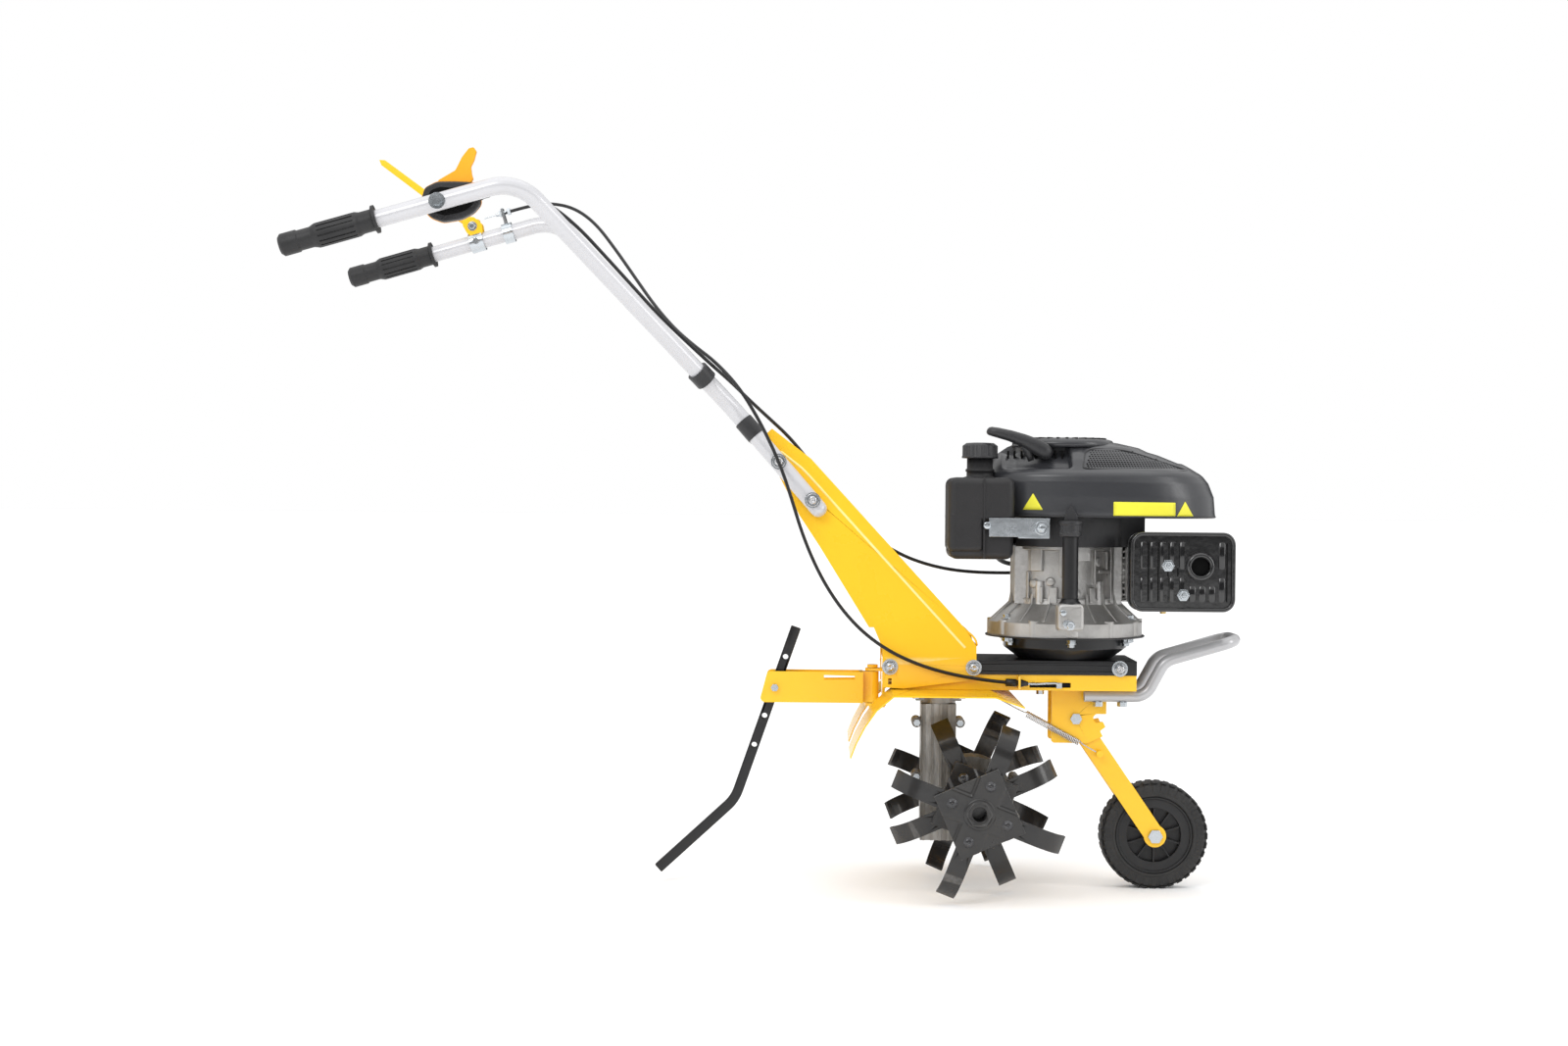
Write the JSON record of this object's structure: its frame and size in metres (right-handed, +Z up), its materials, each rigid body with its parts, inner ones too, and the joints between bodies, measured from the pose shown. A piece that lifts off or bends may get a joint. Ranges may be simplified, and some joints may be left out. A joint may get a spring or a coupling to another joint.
{
  "type": "motor tiller",
  "caption": "Small walk-behind petrol tiller: upright engine on a belt deck, worm gear column, tine rotors, transport wheel, drag stake and twin handlebars.",
  "frame": {"origin": "on the ground under the middle of the machine's length, on its middle plane", "axes": "+X forward, +Y to the operator's left, +Z up"},
  "size_m": [1.3788, 0.5214, 1.1064],
  "materials": {
    "yellow_paint": "gloss",
    "yellow_plastic": "gloss",
    "black_paint": "satin",
    "gloss_black": "gloss",
    "silver_paint": "satin metallic",
    "grey_paint": "satin",
    "fork_paint": "gloss",
    "zinc": "zinc plated",
    "black_rubber": "matt",
    "tyre_rubber": "matt",
    "black_plastic": "fine texture",
    "cast_aluminium": "as cast",
    "machined_steel": "machined",
    "iron": "as cast",
    "bronze": "machined"
  },
  "bodies": {
    "machine": {"deck_frame": "black_paint", "belt_tray": "yellow_paint", "handle_column": "yellow_paint", "frame_bolts": "zinc", "tine_shield": "yellow_paint", "hitch_bracket": "yellow_paint", "wheel_bracket": "yellow_paint", "wheel_spring": "zinc", "front_handle": "grey_paint", "handlebar_left": "silver_paint", "handlebar_right": "silver_paint", "grip_left": "black_rubber", "grip_right": "black_rubber", "handle_bands": "black_plastic", "gearcase_left": "cast_aluminium", "gearcase_right": "cast_aluminium", "gearcase_neck": "cast_aluminium", "gearbox_bearings": "machined_steel", "drive_belt": "black_rubber", "bell_housing": "black_paint", "engine_base": "cast_aluminium", "crankcase": "cast_aluminium", "cylinder_block": "cast_aluminium", "spark_plug": "machined_steel", "muffler": "gloss_black", "engine_screws": "zinc", "engine_shroud": "black_plastic", "blower_housing": "black_plastic", "fuel_tank": "black_plastic", "tank_bracket": "zinc", "carburettor": "cast_aluminium", "oil_tube": "black_plastic", "throttle_housing": "black_plastic", "clutch_clamp": "zinc", "clutch_cable": "black_rubber", "throttle_cable": "black_rubber", "fuel_hose": "black_rubber"},
    "crank": {"crankshaft": "machined_steel", "flywheel": "iron", "engine_pulley": "machined_steel"},
    "worm": {"worm_shaft": "machined_steel", "driven_pulley": "machined_steel"},
    "tines": {"tine_axle": "machined_steel", "worm_wheel": "bronze", "tine_rotor_left": "black_paint", "tine_rotor_right": "black_paint"},
    "idler_arm": {"idler_arm": "zinc"},
    "idler_pulley": {"idler_pulley": "black_plastic"},
    "clutch_lever": {"clutch_lever": "yellow_paint"},
    "throttle_lever": {"throttle_lever": "yellow_plastic"},
    "wheel_fork": {"wheel_fork": "fork_paint", "wheel_axle": "zinc"},
    "wheel": {"wheel_rim": "black_plastic", "tyre": "tyre_rubber"},
    "hitch": {"hitch_arm": "yellow_paint", "stake_screw": "zinc"},
    "drag_stake": {"drag_stake": "black_paint"},
    "starter_grip": {"starter_grip": "black_plastic"},
    "fuel_cap": {"fuel_cap": "black_plastic"},
    "dipstick": {"dipstick": "black_plastic"}
  },
  "joints": [
    {"name": "crank_spin", "type": "hinge", "parent": "machine", "child": "crank", "pos_m": [0.4315, 0, 0.46], "axis": [0, 0, 1], "continuous": true},
    {"name": "worm_spin", "type": "hinge", "parent": "machine", "child": "worm", "pos_m": [0.2445, 0, 0.2], "axis": [0, 0, 1], "continuous": true},
    {"name": "tine_spin", "type": "hinge", "parent": "machine", "child": "tines", "pos_m": [0.2945, 0, 0.132], "axis": [0, 1, 0], "continuous": true},
    {"name": "clutch_squeeze", "type": "hinge", "parent": "machine", "child": "clutch_lever", "pos_m": [-0.49041, 0.23945, 1.00077], "axis": [0, -1, 0], "range_deg": [0, 47], "stiffness_Nm_per_rad": 0.6, "springref_deg": -20.05},
    {"name": "idler_swing", "type": "hinge", "parent": "machine", "child": "idler_arm", "pos_m": [0.4165, 0.052, 0.303], "axis": [0, 0, 1], "range_deg": [-11, 0.5]},
    {"name": "idler_spin", "type": "hinge", "parent": "idler_arm", "child": "idler_pulley", "pos_m": [0.3715, 0.006, 0.316], "axis": [0, 0, 1], "continuous": true},
    {"name": "throttle_turn", "type": "hinge", "parent": "machine", "child": "throttle_lever", "pos_m": [-0.4515, -0.23873, 0.99395], "axis": [0, -1, 0], "range_deg": [-30, 30]},
    {"name": "wheel_lift", "type": "hinge", "parent": "machine", "child": "wheel_fork", "pos_m": [0.4465, 0, 0.252], "axis": [0, -1, 0], "range_deg": [0, 58], "deforming": ["wheel_spring"]},
    {"name": "wheel_roll", "type": "hinge", "parent": "wheel_fork", "child": "wheel", "pos_m": [0.56544, 0, 0.07893], "axis": [0, 1, 0], "continuous": true},
    {"name": "hitch_swing", "type": "hinge", "parent": "machine", "child": "hitch", "pos_m": [0.1465, 0, 0.294], "axis": [0, 0, 1], "range_deg": [-25, 25]},
    {"name": "stake_slide", "type": "slide", "parent": "hitch", "child": "drag_stake", "axis": [0.3272, 0, 0.9449], "range_m": [-0.02, 0.04]},
    {"name": "starter_pull", "type": "slide", "parent": "machine", "child": "starter_grip", "axis": [-0.3505, -0.1001, 0.9312], "range_m": [0, 0.4], "stiffness_N_per_m": 12, "springref_m": -0.4},
    {"name": "cap_lift", "type": "slide", "parent": "machine", "child": "fuel_cap", "axis": [0, 0, 1], "range_m": [0, 0.007]},
    {"name": "dipstick_lift", "type": "slide", "parent": "machine", "child": "dipstick", "axis": [0, 0, 1], "range_m": [0, 0.11]}
  ],
  "couplings": [
    {"joint": "worm_spin", "follows": "crank_spin", "ratio": 0.5556},
    {"joint": "tine_spin", "follows": "crank_spin", "ratio": 0.02315},
    {"joint": "idler_swing", "follows": "clutch_squeeze", "ratio": -0.2}
  ]
}
